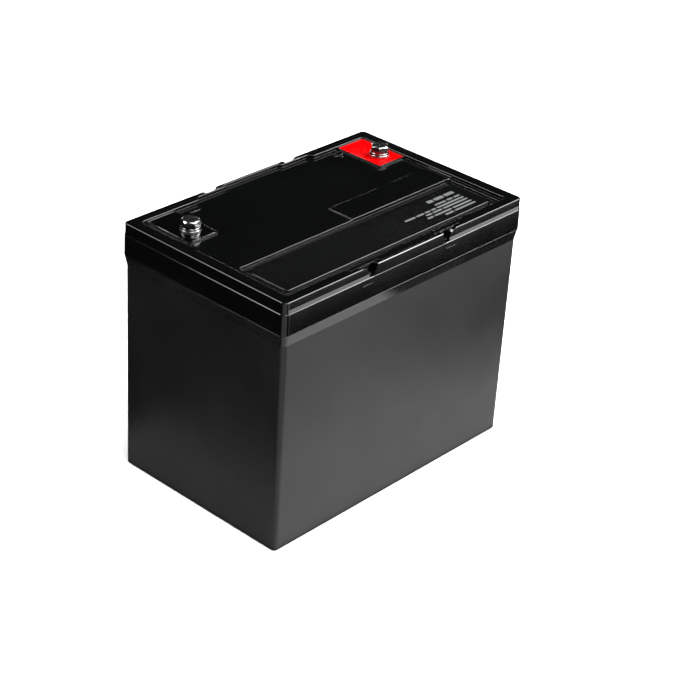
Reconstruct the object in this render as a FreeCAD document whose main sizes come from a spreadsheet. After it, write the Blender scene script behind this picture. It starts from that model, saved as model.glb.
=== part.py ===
# A sealed deep cycle battery of the Group 24 size, as an assembly of separate pieces.
#
# Frame: millimetres, +Z up, origin at the middle of the underside. +X runs along the long side
# towards the positive terminal, and +Y along the short side towards the terminals' side.
#
# Six cells stand in a row inside a moulded case. Each cell is a stack of lead plates with
# glass-mat separators, and lead links join each cell to the next through the partitions.
# The lid is glued on. It carries two terminal wells filled with coloured resin, and a strip of
# six relief valves under a flat vent cover. The terminals take M8 bolts with washers.
import FreeCAD, Part
import math
import os
import Sketcher

DOC = FreeCAD.newDocument("deep_cycle_battery")
SHEET = DOC.addObject("Spreadsheet::Sheet", "Sheet")


# ---- driving dimensions ---------------------------------------------------------------------
DIMENSIONS = [
    # overall
    ("rim_length", 260.0), ("rim_width", 167.0), ("rim_top", 209.0),
    # case
    ("case_inset", 1.0), ("case_draft", 0.2), ("case_corner", 4.0), ("case_foot_round", 1.0),
    ("case_wall", 3.4), ("case_floor", 3.5), ("flange_drop", 9.0), ("cell_corner", 1.5),
    ("partition", 2.0), ("plate_foot", 4.0),
    # lid shell
    ("lid_depth", 26.0), ("lid_roof", 8.0), ("skirt_proud", 0.6), ("skirt_draft", 0.2), ("lid_wall", 3.0),
    ("rim_height", 9.0), ("ledge_slope", 3.0), ("rim_corner", 4.0), ("top_round", 0.7),
    ("rim_end", 10.3), ("rim_side", 8.7), ("recess_corner", 2.5), ("inner_round", 0.4),
    ("panel_drop", 2.6), ("joint_gap", 0.4), ("edge_bevel", 0.35),
    # the wider middle of the lid's recess and the four strap notches
    ("jog_half_length", 59.0), ("jog_bevel", 4.0), ("jog_side", 4.7),
    ("middle_half_length", 30.5), ("middle_side", 1.9),
    ("notch_inner", 36.0), ("notch_slant", 4.0), ("notch_gap", 4.0), ("notch_round", 8.0),
    ("notch_wall", 1.2), ("wall_bevel", 0.5),
    ("lip_length", 11.0), ("lip_height", 1.0), ("lip_depth", 0.4), ("lip_drop", 4.0),
    # panel steps and the valve strip
    ("step_start", 5.0), ("step_height", 0.6), ("step_width", 25.0), ("step_round", 0.3),
    ("strip_left", 6.2), ("strip_right", 3.7), ("strip_front", 2.8), ("strip_width", 51.0),
    ("strip_drop", 2.2), ("strip_corner", 2.0),
    ("cover_left", 3.2), ("cover_right", 3.3), ("cover_front", 6.0), ("cover_width", 37.5),
    ("cover_thickness", 2.2), ("cover_proud", 1.2), ("cover_corner", 3.0), ("cover_round", 0.4),
    ("cover_gap", 0.15), ("vent_slot", 3.0), ("vent_slot_depth", 0.6),
    # relief valves
    ("chamber_diameter", 15.0), ("chamber_depth", 8.0), ("chamber_wall", 1.8),
    ("nozzle_diameter", 8.0), ("nozzle_height", 5.5), ("nozzle_bore", 4.0),
    ("valve_diameter", 11.6), ("valve_height", 6.2), ("valve_gap", 0.05), ("valve_crown", 1.4),
    ("keeper_diameter", 6.0), ("keeper_gap", 0.2),
    # terminal wells, each set in from the recess's end and back walls
    ("positive_inset", 0.3), ("positive_well", 28.4), ("negative_inset", 5.8), ("negative_well", 27.0),
    ("well_inset", 0.5), ("well_length", 44.8), ("terminal_setback", 29.9), ("terminal_shift", 1.5),
    ("well_corner", 1.5),
    ("well_depth", 12.1), ("well_floor", 3.0), ("well_wall", 1.4), ("cup_gap", 0.5),
    ("curb_height", 1.2), ("curb_width", 1.0),
    ("mark_line", 67.0), ("plus_offset", 22.2), ("minus_offset", 27.4),
    ("mark_length", 9.0), ("mark_width", 1.8), ("mark_height", 0.4),
    # terminal inserts
    ("insert_diameter", 16.0), ("insert_proud", 0.3), ("insert_flange", 22.0),
    ("insert_flange_height", 3.0), ("post_diameter", 13.0), ("thread_depth", 17.0),
    ("thread_gap", 0.05), ("post_gap", 0.1), ("ring_section", 2.0), ("ring_gap", 0.05),
    # M8 bolts and washers
    ("bolt_diameter", 8.0), ("bolt_length", 16.0), ("bolt_point", 0.8),
    ("head_flats", 13.0), ("head_height", 5.3), ("head_crown", 12.3), ("head_bevel", 0.8),
    ("positive_turn", 41.0), ("negative_turn", 11.5),
    ("spring_outer", 14.4), ("spring_height", 1.6), ("spring_split", 1.0),
    ("washer_outer", 16.0), ("washer_height", 1.4), ("washer_gap", 0.1),
    # plate stacks and lead links
    ("negative_plate", 2.5), ("mat", 0.75), ("stack_gap", 0.02), ("stack_margin", 0.1),
    ("plate_margin", 4.0), ("mat_margin", 2.0), ("mat_fold", 1.0),
    ("lug_width", 16.0), ("lug_height", 12.0), ("strap_width", 18.0), ("strap_height", 7.0),
    ("strap_margin", 2.0), ("post_reach", 26.0), ("weld_diameter", 6.0), ("weld_gap", 0.1),
]


RIGHT_ANGLE = math.pi / 2
NEARLY = 0.01


class Size:
    """A number together with the sheet expression that it comes from."""

    def __init__(self, number, text):
        self.number = float(number)
        self.text = text

    def __add__(self, other):
        other = as_size(other)
        return Size(self.number + other.number, f"({self.text} + {other.text})")

    def __sub__(self, other):
        other = as_size(other)
        return Size(self.number - other.number, f"({self.text} - {other.text})")

    def __mul__(self, other):
        other = as_size(other)
        return Size(self.number * other.number, f"({self.text} * {other.text})")

    def __truediv__(self, other):
        other = as_size(other)
        return Size(self.number / other.number, f"({self.text} / {other.text})")

    def __neg__(self):
        return Size(-self.number, f"({self.text} * -1)")

    def __rsub__(self, other):
        return as_size(other) - self

    __radd__ = __add__
    __rmul__ = __mul__


def as_size(value):
    return value if isinstance(value, Size) else Size(value, f"({value})")


class Dimensions:
    """The sheet's cells, read as sizes: dim.rim_length and so on."""


dim = Dimensions()
for row, (alias, number) in enumerate(DIMENSIONS, start=1):
    SHEET.set(f"A{row}", alias)
    SHEET.set(f"B{row}", str(number))
    SHEET.setAlias(f"B{row}", alias)
    setattr(dim, alias, Size(number, f"Sheet.{alias}"))
DOC.recompute()


# ---- heights and places that several pieces share -------------------------------------------
lid_bottom = dim.rim_top - dim.lid_depth
ledge = dim.rim_top - dim.rim_height
panel = dim.rim_top - dim.panel_drop
strip_floor = panel - dim.strip_drop
cover_top = strip_floor + dim.cover_proud
cover_seat = cover_top - dim.cover_thickness
chamber_floor = cover_seat - dim.chamber_depth
lid_inside = dim.rim_top - dim.lid_roof
neck_top = lid_inside - dim.joint_gap
resin_top = panel + dim.curb_height
insert_top = resin_top + dim.insert_proud
well_floor_top = resin_top - dim.well_depth
well_underside = well_floor_top - dim.well_floor
washer_top = insert_top + dim.washer_height
spring_top = washer_top + dim.spring_height
head_top = spring_top + dim.head_height

case_length = dim.rim_length - 2 * dim.case_inset
case_width = dim.rim_width - 2 * dim.case_inset
skirt_length = dim.rim_length + 2 * dim.skirt_proud
skirt_width = dim.rim_width + 2 * dim.skirt_proud
skirt_corner = dim.rim_corner + dim.skirt_proud
cavity_length = case_length - 2 * dim.case_wall - 2 * dim.case_draft
cavity_width = case_width - 2 * dim.case_wall - 2 * dim.case_draft
neck_length = skirt_length - 2 * dim.lid_wall - 2 * dim.joint_gap
neck_width = skirt_width - 2 * dim.lid_wall - 2 * dim.joint_gap
neck_corner = skirt_corner - dim.lid_wall + dim.joint_gap
recess_length = dim.rim_length - 2 * dim.rim_end
recess_width = dim.rim_width - 2 * dim.rim_side

CELLS = 6
NOTCH_STEPS = 6
cell_length = (cavity_length - (CELLS - 1) * dim.partition) / CELLS
cell_pitch = cell_length + dim.partition

# The plates fill what is left between the case's floor and the straps under the terminals.
strap_top = well_underside - dim.post_reach
strap_bottom = strap_top - dim.strap_height
strap_middle = strap_bottom + dim.strap_height / 2
strap_length = cell_length - 2 * dim.strap_margin
plate_bottom = dim.case_floor + dim.plate_foot
plate_top = strap_bottom - dim.lug_height
plate_height = plate_top - plate_bottom
plate_width = cavity_width - 2 * dim.plate_margin
POSITIVE_PLATES = 5
NEGATIVE_PLATES = POSITIVE_PLATES + 1
sheets = 2 * POSITIVE_PLATES
positive_plate = (cell_length - 2 * dim.stack_margin - NEGATIVE_PLATES * dim.negative_plate
                  - sheets * (dim.mat + 2 * dim.stack_gap)) / POSITIVE_PLATES
pair_pitch = positive_plate + dim.negative_plate + 2 * (dim.mat + 2 * dim.stack_gap)

# The strip for the valves' cover runs along the front of the panel.
strip_left = -recess_length / 2 + dim.strip_left
strip_right = recess_length / 2 - dim.strip_right
strip_front = -recess_width / 2 + dim.strip_front
strip_back = strip_front + dim.strip_width
cover_left = strip_left + dim.cover_left
cover_right = strip_right - dim.cover_right
cover_front = strip_front + dim.cover_front
cover_length = cover_right - cover_left
cover_x = (cover_left + cover_right) / 2
cover_y = cover_front + dim.cover_width / 2
valve_top = chamber_floor + dim.nozzle_height + dim.valve_crown

# The terminals stand in wells in the panel's two back corners.
well_back = recess_width / 2 - dim.well_inset
well_middle = well_back - dim.well_length / 2
terminal_line = well_back - dim.terminal_setback
positive_well_x = recess_length / 2 - dim.positive_inset - dim.positive_well / 2
negative_well_x = -recess_length / 2 + dim.negative_inset + dim.negative_well / 2
WELLS = [
    ("positive", positive_well_x, dim.positive_well),
    ("negative", negative_well_x, dim.negative_well),
]


def cell_centre(index):
    """X of a cell's middle, counted from 0 at the negative end."""
    return cell_pitch * (index - (CELLS - 1) / 2)


# ---- small helpers --------------------------------------------------------------------------
NODES = []


def bind(thing, **sizes):
    """Bind properties such as Length to sheet expressions."""
    for name, value in sizes.items():
        thing.setExpression(name, as_size(value).text)


def place(thing, x=0, y=0, z=0, field="Placement"):
    """Bind a placement's or an attachment offset's three coordinates."""
    for axis, value in zip("xyz", (x, y, z)):
        thing.setExpression(f".{field}.Base.{axis}", as_size(value).text)


def new_body(name):
    body = DOC.addObject("PartDesign::Body", name)
    body.Label = name
    NODES.append(body)
    return body


def new_sketch(body, name, x=0, y=0, z=0, role="XY_Plane"):
    """An empty sketch on one of the body's origin planes, moved by x, y, z in that plane's axes."""
    sketch = body.newObject("Sketcher::SketchObject", name)
    plane = next(item for item in body.Origin.OriginFeatures if item.Role == role)
    sketch.AttachmentSupport = [(plane, "")]
    sketch.MapMode = "FlatFace"
    place(sketch, x, y, z, "AttachmentOffset")
    return sketch


def constrain(sketch, name, kind, *args):
    """Add a named dimension to the sketch, bound to the size given last."""
    value = as_size(args[-1])
    number = sketch.addConstraint(Sketcher.Constraint(kind, *args[:-1], value.number))
    sketch.renameConstraint(number, name)
    sketch.setExpression(f"Constraints.{name}", value.text)


def polygon(sketch, points):
    """A closed outline through the points, each held by its two distances from the origin."""
    places = [FreeCAD.Vector(as_size(x).number, as_size(y).number, 0) for x, y in points]
    count = len(points)
    for index in range(count):
        sketch.addGeometry(Part.LineSegment(places[index], places[(index + 1) % count]))
    for index in range(count):
        following = (index + 1) % count
        sketch.addConstraint(Sketcher.Constraint("Coincident", index, 2, following, 1))
    for index, (x, y) in enumerate(points):
        constrain(sketch, f"across{index}", "DistanceX", -1, 1, index, 1, x)
        constrain(sketch, f"along{index}", "DistanceY", -1, 1, index, 1, y)


def rectangle(sketch, length, width, corner):
    """A rectangle centred on the sketch's origin, with quarter-round corners."""
    half_x, half_y, arc = (as_size(value).number for value in (length / 2, width / 2, corner))
    turn = FreeCAD.Vector(0, 0, 1)
    for index, (sign_x, sign_y) in enumerate([(1, 1), (-1, 1), (-1, -1), (1, -1)]):
        middle = FreeCAD.Vector(sign_x * (half_x - arc), sign_y * (half_y - arc), 0)
        start = index * RIGHT_ANGLE
        sketch.addGeometry(Part.ArcOfCircle(Part.Circle(middle, turn, arc), start, start + RIGHT_ANGLE))
    flat_x, flat_y = half_x - arc, half_y - arc
    sides = [((flat_x, half_y), (-flat_x, half_y)), ((-half_x, flat_y), (-half_x, -flat_y)),
             ((-flat_x, -half_y), (flat_x, -half_y)), ((half_x, -flat_y), (half_x, flat_y))]
    for first, last in sides:
        sketch.addGeometry(Part.LineSegment(FreeCAD.Vector(*first, 0), FreeCAD.Vector(*last, 0)))
    for index in range(4):
        sketch.addConstraint(Sketcher.Constraint("Tangent", index, 2, 4 + index, 1))
        sketch.addConstraint(Sketcher.Constraint("Tangent", 4 + index, 2, (index + 1) % 4, 1))
    for index in range(1, 4):
        sketch.addConstraint(Sketcher.Constraint("Equal", 0, index))
    sketch.addConstraint(Sketcher.Constraint("Horizontal", 4))
    sketch.addConstraint(Sketcher.Constraint("Horizontal", 6))
    sketch.addConstraint(Sketcher.Constraint("Vertical", 5))
    sketch.addConstraint(Sketcher.Constraint("Symmetric", 0, 3, 2, 3, -1, 1))
    constrain(sketch, "corner", "Radius", 0, corner)
    constrain(sketch, "length", "DistanceX", 1, 3, 0, 3, length - 2 * corner)
    constrain(sketch, "width", "DistanceY", 3, 3, 0, 3, width - 2 * corner)


def circles(sketch, places, diameter):
    """Equal circles at the given places."""
    for index, (x, y) in enumerate(places):
        middle = FreeCAD.Vector(as_size(x).number, as_size(y).number, 0)
        sketch.addGeometry(Part.Circle(middle, FreeCAD.Vector(0, 0, 1), as_size(diameter).number / 2))
        constrain(sketch, f"bore{index}", "Diameter", index, diameter)
        for kind, name, value in (("DistanceX", "across", x), ("DistanceY", "along", y)):
            if as_size(value).number == 0:
                axis = -2 if kind == "DistanceX" else -1
                sketch.addConstraint(Sketcher.Constraint("PointOnObject", index, 3, axis))
            else:
                constrain(sketch, f"{name}{index}", kind, -1, 1, index, 3, value)


def feature(body, kind, name, sketch, **sizes):
    """A sketch-based feature that becomes the body's tip, with its sizes bound."""
    item = body.newObject(f"PartDesign::{kind}", name)
    item.Profile = sketch
    bind(item, **sizes)
    sketch.Visibility = False
    return item


def pad(body, name, sketch, height, down=False):
    item = feature(body, "Pad", name, sketch, Length=height)
    item.Reversed = down


def pocket(body, name, sketch, depth, up=False, may_miss=False):
    """A cut below its sketch, or above it with up=True. It has to take material away."""
    DOC.recompute()
    before = body.Shape.Volume
    item = feature(body, "Pocket", name, sketch, Length=depth)
    item.Reversed = up
    DOC.recompute()
    if not (body.Shape.Volume < before or may_miss):
        raise ValueError(f"{name} cuts nothing")


def loft(body, name, lower, upper):
    item = feature(body, "AdditiveLoft", name, lower)
    item.Sections = [upper]
    item.Ruled = True


def bevelled_outline(body, name, full_z, slim_z, length, width, corner):
    """A thin loft that breaks the edge of a rounded outline, from its full size to a slimmer one."""
    full = new_sketch(body, f"{name}_full_outline", z=full_z)
    rectangle(full, length, width, corner)
    slim = new_sketch(body, f"{name}_slim_outline", z=slim_z)
    bevel = dim.edge_bevel
    rectangle(slim, length - 2 * bevel, width - 2 * bevel, corner - bevel)
    loft(body, f"{name}_bevel", slim, full)


def round_edges(body, name, radius, wanted):
    """Fillet the edges of the body's tip that the test accepts."""
    DOC.recompute()
    tip = body.Tip
    names = [f"Edge{number}" for number, edge in enumerate(tip.Shape.Edges, 1) if wanted(edge.BoundBox)]
    item = body.newObject("PartDesign::Fillet", name)
    item.Base = (tip, names)
    bind(item, Radius=radius)
    DOC.recompute()
    if not item.Shape.isValid():
        raise ValueError(f"{name} is not valid")


def block(name, length, width, height, x, y, z):
    """A Part::Box given by its size and the middle of its underside."""
    box = DOC.addObject("Part::Box", name)
    bind(box, Length=length, Width=width, Height=height)
    place(box, x - length / 2, y - width / 2, z)
    return box


def rod(name, diameter, height, x, y, z):
    """An upright Part::Cylinder standing on the given point."""
    cylinder = DOC.addObject("Part::Cylinder", name)
    bind(cylinder, Radius=diameter / 2, Height=height)
    place(cylinder, x, y, z)
    return cylinder


def node_of(name, pieces, kind="Part::MultiFuse"):
    """One named sub-part made of several primitives."""
    item = DOC.addObject(kind, name)
    item.Label = name
    item.Shapes = pieces
    NODES.append(item)
    return item


def near(value, size):
    return abs(value - size.number) < NEARLY


# ---- case: one moulding with five partitions between its cells -------------------------------
case = new_body("case")

foot_outline = new_sketch(case, "case_foot_outline")
foot_bevel = dim.case_draft + dim.case_foot_round
rectangle(foot_outline, case_length - 2 * foot_bevel, case_width - 2 * foot_bevel,
          dim.case_corner - foot_bevel)
heel_outline = new_sketch(case, "case_heel_outline", z=dim.case_foot_round)
rectangle(heel_outline, case_length - 2 * dim.case_draft, case_width - 2 * dim.case_draft,
          dim.case_corner - dim.case_draft)
loft(case, "case_foot_loft", foot_outline, heel_outline)
wall_foot = new_sketch(case, "case_wall_foot", z=dim.case_foot_round)
rectangle(wall_foot, case_length - 2 * dim.case_draft, case_width - 2 * dim.case_draft,
          dim.case_corner - dim.case_draft)
wall_outline = new_sketch(case, "case_wall_outline", z=lid_bottom - dim.flange_drop)
rectangle(wall_outline, case_length, case_width, dim.case_corner)
loft(case, "case_wall_loft", wall_foot, wall_outline)

flange_foot = new_sketch(case, "case_flange_foot", z=lid_bottom - dim.flange_drop)
rectangle(flange_foot, case_length, case_width, dim.case_corner)
flange_outline = new_sketch(case, "case_flange_outline", z=lid_bottom - dim.edge_bevel)
rectangle(flange_outline, skirt_length, skirt_width, skirt_corner)
loft(case, "case_flange_loft", flange_foot, flange_outline)
bevelled_outline(case, "case_flange", lid_bottom - dim.edge_bevel, lid_bottom, skirt_length, skirt_width,
                 skirt_corner)

neck_outline = new_sketch(case, "case_neck_outline", z=lid_bottom)
rectangle(neck_outline, neck_length, neck_width, neck_corner)
pad(case, "case_neck", neck_outline, neck_top - lid_bottom)


def cut_cells(body, depth, up):
    """Open one rounded box over each cell, down or up from the neck's top."""
    for index in range(CELLS):
        outline = new_sketch(body, f"{body.Name}_cell_outline_{index + 1}", x=cell_centre(index),
                             z=neck_top)
        rectangle(outline, cell_length, cavity_width, dim.cell_corner)
        pocket(body, f"{body.Name}_cell_{index + 1}", outline, depth, up=up)


cut_cells(case, neck_top - dim.case_floor, up=False)


def clear_wells(body, depth, up):
    """Room in the partitions for the cups that hang below the terminal wells."""
    for sign, x, width in WELLS:
        margin = 2 * (dim.well_wall + dim.cup_gap)
        outline = new_sketch(body, f"{body.Name}_{sign}_cup_outline", x=x, y=well_middle, z=neck_top)
        rectangle(outline, width + margin, dim.well_length + margin, dim.well_corner)
        pocket(body, f"{body.Name}_{sign}_cup_room", outline, depth, up=up, may_miss=True)


clear_wells(case, neck_top - well_underside + dim.cup_gap, up=False)


def front_side(index):
    """-1 where a cell boundary's link runs along the front, +1 along the back."""
    return -1 if index % 2 == 0 else 1


for wall in range(CELLS - 1):
    middle = cell_centre(wall) + cell_pitch / 2
    weld_hole = new_sketch(case, f"weld_hole_outline_{wall + 1}", z=middle - dim.partition,
                           role="YZ_Plane")
    circles(weld_hole, [(terminal_line * front_side(wall), strap_middle)],
            dim.weld_diameter + 2 * dim.weld_gap)
    pocket(case, f"weld_hole_{wall + 1}", weld_hole, dim.partition * 2, up=True)

# ---- adhesive between the neck and partitions and the lid -------------------------------------
adhesive = new_body("lid_adhesive")
bead_outline = new_sketch(adhesive, "bead_outline", z=neck_top)
rectangle(bead_outline, neck_length, neck_width, neck_corner)
pad(adhesive, "bead", bead_outline, dim.joint_gap)
cut_cells(adhesive, dim.joint_gap, up=True)
clear_wells(adhesive, dim.joint_gap, up=True)

# ---- lid shell --------------------------------------------------------------------------------
lid = new_body("lid")

skirt_foot_length = skirt_length + 2 * dim.skirt_draft
skirt_foot_width = skirt_width + 2 * dim.skirt_draft
skirt_foot_corner = skirt_corner + dim.skirt_draft
bevelled_outline(lid, "skirt_foot", lid_bottom + dim.edge_bevel, lid_bottom, skirt_foot_length,
                 skirt_foot_width, skirt_foot_corner)
skirt_foot = new_sketch(lid, "skirt_foot", z=lid_bottom + dim.edge_bevel)
rectangle(skirt_foot, skirt_foot_length, skirt_foot_width, skirt_foot_corner)
skirt_top = new_sketch(lid, "skirt_top", z=ledge - dim.edge_bevel)
rectangle(skirt_top, skirt_length, skirt_width, skirt_corner)
loft(lid, "skirt", skirt_foot, skirt_top)
bevelled_outline(lid, "ledge", ledge - dim.edge_bevel, ledge, skirt_length, skirt_width, skirt_corner)

slope_foot = new_sketch(lid, "ledge_slope_foot", z=ledge)
rectangle(slope_foot, skirt_length - 2 * dim.edge_bevel, skirt_width - 2 * dim.edge_bevel,
          skirt_corner - dim.edge_bevel)
slope_top = new_sketch(lid, "ledge_slope_top", z=ledge + dim.ledge_slope)
rectangle(slope_top, dim.rim_length, dim.rim_width, dim.rim_corner)
loft(lid, "ledge_slope", slope_foot, slope_top)

rim_outline = new_sketch(lid, "rim_outline", z=ledge + dim.ledge_slope)
rectangle(rim_outline, dim.rim_length, dim.rim_width, dim.rim_corner)
pad(lid, "rim", rim_outline, dim.rim_height - dim.ledge_slope)
round_edges(lid, "rim_fillet", dim.top_round, lambda box: near(box.ZMin, dim.rim_top))

# the two middle walls stand flush with the skirt, up to the rim's height, with a broken edge
low = dim.notch_inner + dim.notch_slant
for side, name in ((-1, "front"), (1, "back")):
    face = skirt_width / 2
    root_outline = new_sketch(lid, f"{name}_wall_root", z=(face - dim.wall_bevel) * -side, role="XZ_Plane")
    polygon(root_outline, [(-low, ledge), (low, ledge), (dim.notch_inner, dim.rim_top),
                           (-dim.notch_inner, dim.rim_top)])
    pad(lid, f"{name}_wall", root_outline, dim.jog_side - dim.wall_bevel, down=side < 0)
    bevel_root = new_sketch(lid, f"{name}_bevel_root", z=(face - dim.wall_bevel) * -side, role="XZ_Plane")
    polygon(bevel_root, [(-low, ledge), (low, ledge), (dim.notch_inner, dim.rim_top),
                         (-dim.notch_inner, dim.rim_top)])
    bevel_face = new_sketch(lid, f"{name}_bevel_face", z=face * -side, role="XZ_Plane")
    slim_low = low - dim.wall_bevel
    slim_top = dim.notch_inner - dim.wall_bevel
    polygon(bevel_face, [(-slim_low, ledge), (slim_low, ledge), (slim_top, dim.rim_top - dim.wall_bevel),
                         (-slim_top, dim.rim_top - dim.wall_bevel)])
    loft(lid, f"{name}_wall_bevel", bevel_root, bevel_face)

# the recess that the panel lies in: narrow at its ends, wider between the notches
ends_outline = new_sketch(lid, "recess_outline", z=dim.rim_top)
rectangle(ends_outline, recess_length, recess_width, dim.recess_corner)
pocket(lid, "recess", ends_outline, dim.panel_drop)

near_side = recess_width / 2
far_side = dim.rim_width / 2 - dim.jog_side
jog = dim.jog_half_length
bevel = dim.jog_half_length + dim.jog_bevel
jog_outline = new_sketch(lid, "recess_jog_outline", z=dim.rim_top)
polygon(jog_outline, [(-bevel, -near_side), (-jog, -far_side), (jog, -far_side), (bevel, -near_side),
                      (bevel, near_side), (jog, far_side), (-jog, far_side), (-bevel, near_side)])
pocket(lid, "recess_jog", jog_outline, dim.panel_drop)

middle_outline = new_sketch(lid, "recess_middle_outline", z=dim.rim_top)
reach = dim.rim_width / 2 - dim.middle_side
half = dim.middle_half_length
polygon(middle_outline, [(-half, -reach), (half, -reach), (half, reach), (-half, reach)])
pocket(lid, "recess_middle", middle_outline, dim.panel_drop)


def inner_edge(box):
    """Top edges of the recess."""
    inside = max(abs(box.YMin), abs(box.YMax)) < reach.number + NEARLY
    inside = inside and max(abs(box.XMin), abs(box.XMax)) < recess_length.number / 2 + NEARLY
    return inside and near(box.ZMin, dim.rim_top)


round_edges(lid, "recess_fillet", dim.inner_round, inner_edge)

# four notches beside the middle walls, for the ends of a carrying strap
for side_y, side_name in ((-1, "front"), (1, "back")):
    for side_x, end_name in ((-1, "left"), (1, "right")):
        name = f"{side_name}_{end_name}"
        notch = new_sketch(lid, f"{name}_notch_outline", z=(skirt_width / 2 + 1) * -side_y, role="XZ_Plane")
        arc_foot = low + dim.notch_gap
        centre = arc_foot + dim.notch_round
        top = dim.rim_top + 1
        outline = [(side_x * low, ledge), (side_x * dim.notch_inner, dim.rim_top),
                   (side_x * dim.notch_inner, top), (side_x * centre, top)]
        for step in range(NOTCH_STEPS + 1):
            turn = RIGHT_ANGLE * (1 - step / NOTCH_STEPS)
            outline.append((side_x * (centre - dim.notch_round * math.cos(turn)),
                            dim.rim_top - dim.notch_round * (1 - math.sin(turn))))
        outline.append((side_x * arc_foot, ledge))
        polygon(notch, outline)
        depth = 1 + dim.skirt_proud + dim.jog_side - dim.notch_wall
        pocket(lid, f"{name}_notch", notch, depth, up=side_y > 0)

        lip = new_sketch(lid, f"{name}_lip_outline", z=(skirt_width / 2 + 1) * -side_y, role="XZ_Plane")
        lip_start, lip_end = side_x * low, side_x * (low + dim.lip_length)
        lip_top = ledge - dim.lip_drop
        lip_foot = lip_top - dim.lip_height
        polygon(lip, [(lip_start, lip_foot), (lip_end, lip_foot), (lip_end, lip_top), (lip_start, lip_top)])
        pocket(lid, f"{name}_lip", lip, 1 + dim.lip_depth, up=side_y > 0)

# the valve strip, and the seat that its cover drops into
strip_outline = new_sketch(lid, "strip_outline", x=(strip_left + strip_right) / 2,
                           y=(strip_front + strip_back) / 2, z=panel)
rectangle(strip_outline, strip_right - strip_left, dim.strip_width, dim.strip_corner)
pocket(lid, "strip", strip_outline, dim.strip_drop)
seat_outline = new_sketch(lid, "seat_outline", x=cover_x, y=cover_y, z=strip_floor)
rectangle(seat_outline, cover_length + 2 * dim.cover_gap, dim.cover_width + 2 * dim.cover_gap,
          dim.cover_corner + dim.cover_gap)
pocket(lid, "cover_seat", seat_outline, strip_floor - cover_seat)

# the raised step beside the strip, up to the recess's right-hand wall
step_length = recess_length / 2 + dim.inner_round - dim.step_start
step_outline = new_sketch(lid, "step_outline", x=dim.step_start, y=strip_back, z=panel)
polygon(step_outline, [(0, 0), (step_length, 0), (step_length, dim.step_width), (0, dim.step_width)])
pad(lid, "step", step_outline, dim.step_height)


def step_edge(box):
    """Free top edges of the step: its left end, its back edge, and its front edge over the strip."""
    on_top = near(box.ZMin, panel + dim.step_height) and near(box.ZMax, panel + dim.step_height)
    return on_top and box.XMax < recess_length.number / 2 + NEARLY and box.XLength + box.YLength > 1


def strip_edge(box):
    """The strip's top edge, where it meets the panel."""
    on_panel = near(box.ZMin, panel) and near(box.ZMax, panel)
    across = box.XMin > strip_left.number - NEARLY and box.XMax < strip_right.number + NEARLY
    along = box.YMin > strip_front.number - NEARLY and box.YMax < strip_back.number + NEARLY
    on_back_wall = near(box.YMin, strip_back)
    return on_panel and across and along and (box.XMax < dim.step_start.number + NEARLY or not on_back_wall)


round_edges(lid, "step_fillet", dim.step_round, step_edge)
round_edges(lid, "strip_fillet", dim.step_round, strip_edge)

# raised polarity marks beside the wells
plus_x = positive_well_x - dim.plus_offset
minus_x = negative_well_x + dim.minus_offset
half_mark = dim.mark_length / 2
half_stroke = dim.mark_width / 2
minus_mark = new_sketch(lid, "minus_outline", x=minus_x, y=dim.mark_line, z=panel)
polygon(minus_mark, [(-half_mark, -half_stroke), (half_mark, -half_stroke),
                     (half_mark, half_stroke), (-half_mark, half_stroke)])
pad(lid, "minus_mark", minus_mark, dim.mark_height)
plus_mark = new_sketch(lid, "plus_outline", x=plus_x, y=dim.mark_line, z=panel)
arm, web = half_mark, half_stroke
polygon(plus_mark, [(arm, -web), (arm, web), (web, web), (web, arm), (-web, arm), (-web, web),
                    (-arm, web), (-arm, -web), (-web, -web), (-web, -arm), (web, -arm), (web, -web)])
pad(lid, "plus_mark", plus_mark, dim.mark_height)

# the hollow underside, and the cups that hang from it
hollow_outline = new_sketch(lid, "hollow_outline", z=lid_bottom)
rectangle(hollow_outline, skirt_length - 2 * dim.lid_wall, skirt_width - 2 * dim.lid_wall,
          skirt_corner - dim.lid_wall)
pocket(lid, "hollow", hollow_outline, lid_inside - lid_bottom, up=True)

valve_places = [(cell_centre(index), cover_y) for index in range(CELLS)]
cups = new_sketch(lid, "valve_cup_outline", z=lid_inside)
circles(cups, valve_places, dim.chamber_diameter + 2 * dim.chamber_wall)
pad(lid, "valve_cups", cups, lid_inside - chamber_floor + dim.chamber_wall, down=True)
chambers = new_sketch(lid, "valve_chamber_outline", z=cover_seat)
circles(chambers, valve_places, dim.chamber_diameter)
pocket(lid, "valve_chambers", chambers, dim.chamber_depth)
nozzles = new_sketch(lid, "nozzle_outline", z=chamber_floor)
circles(nozzles, valve_places, dim.nozzle_diameter)
pad(lid, "nozzles", nozzles, dim.nozzle_height)
bores = new_sketch(lid, "nozzle_bore_outline", z=chamber_floor + dim.nozzle_height)
circles(bores, valve_places, dim.nozzle_bore)
pocket(lid, "nozzle_bores", bores, dim.nozzle_height + 2 * dim.chamber_wall)

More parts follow.
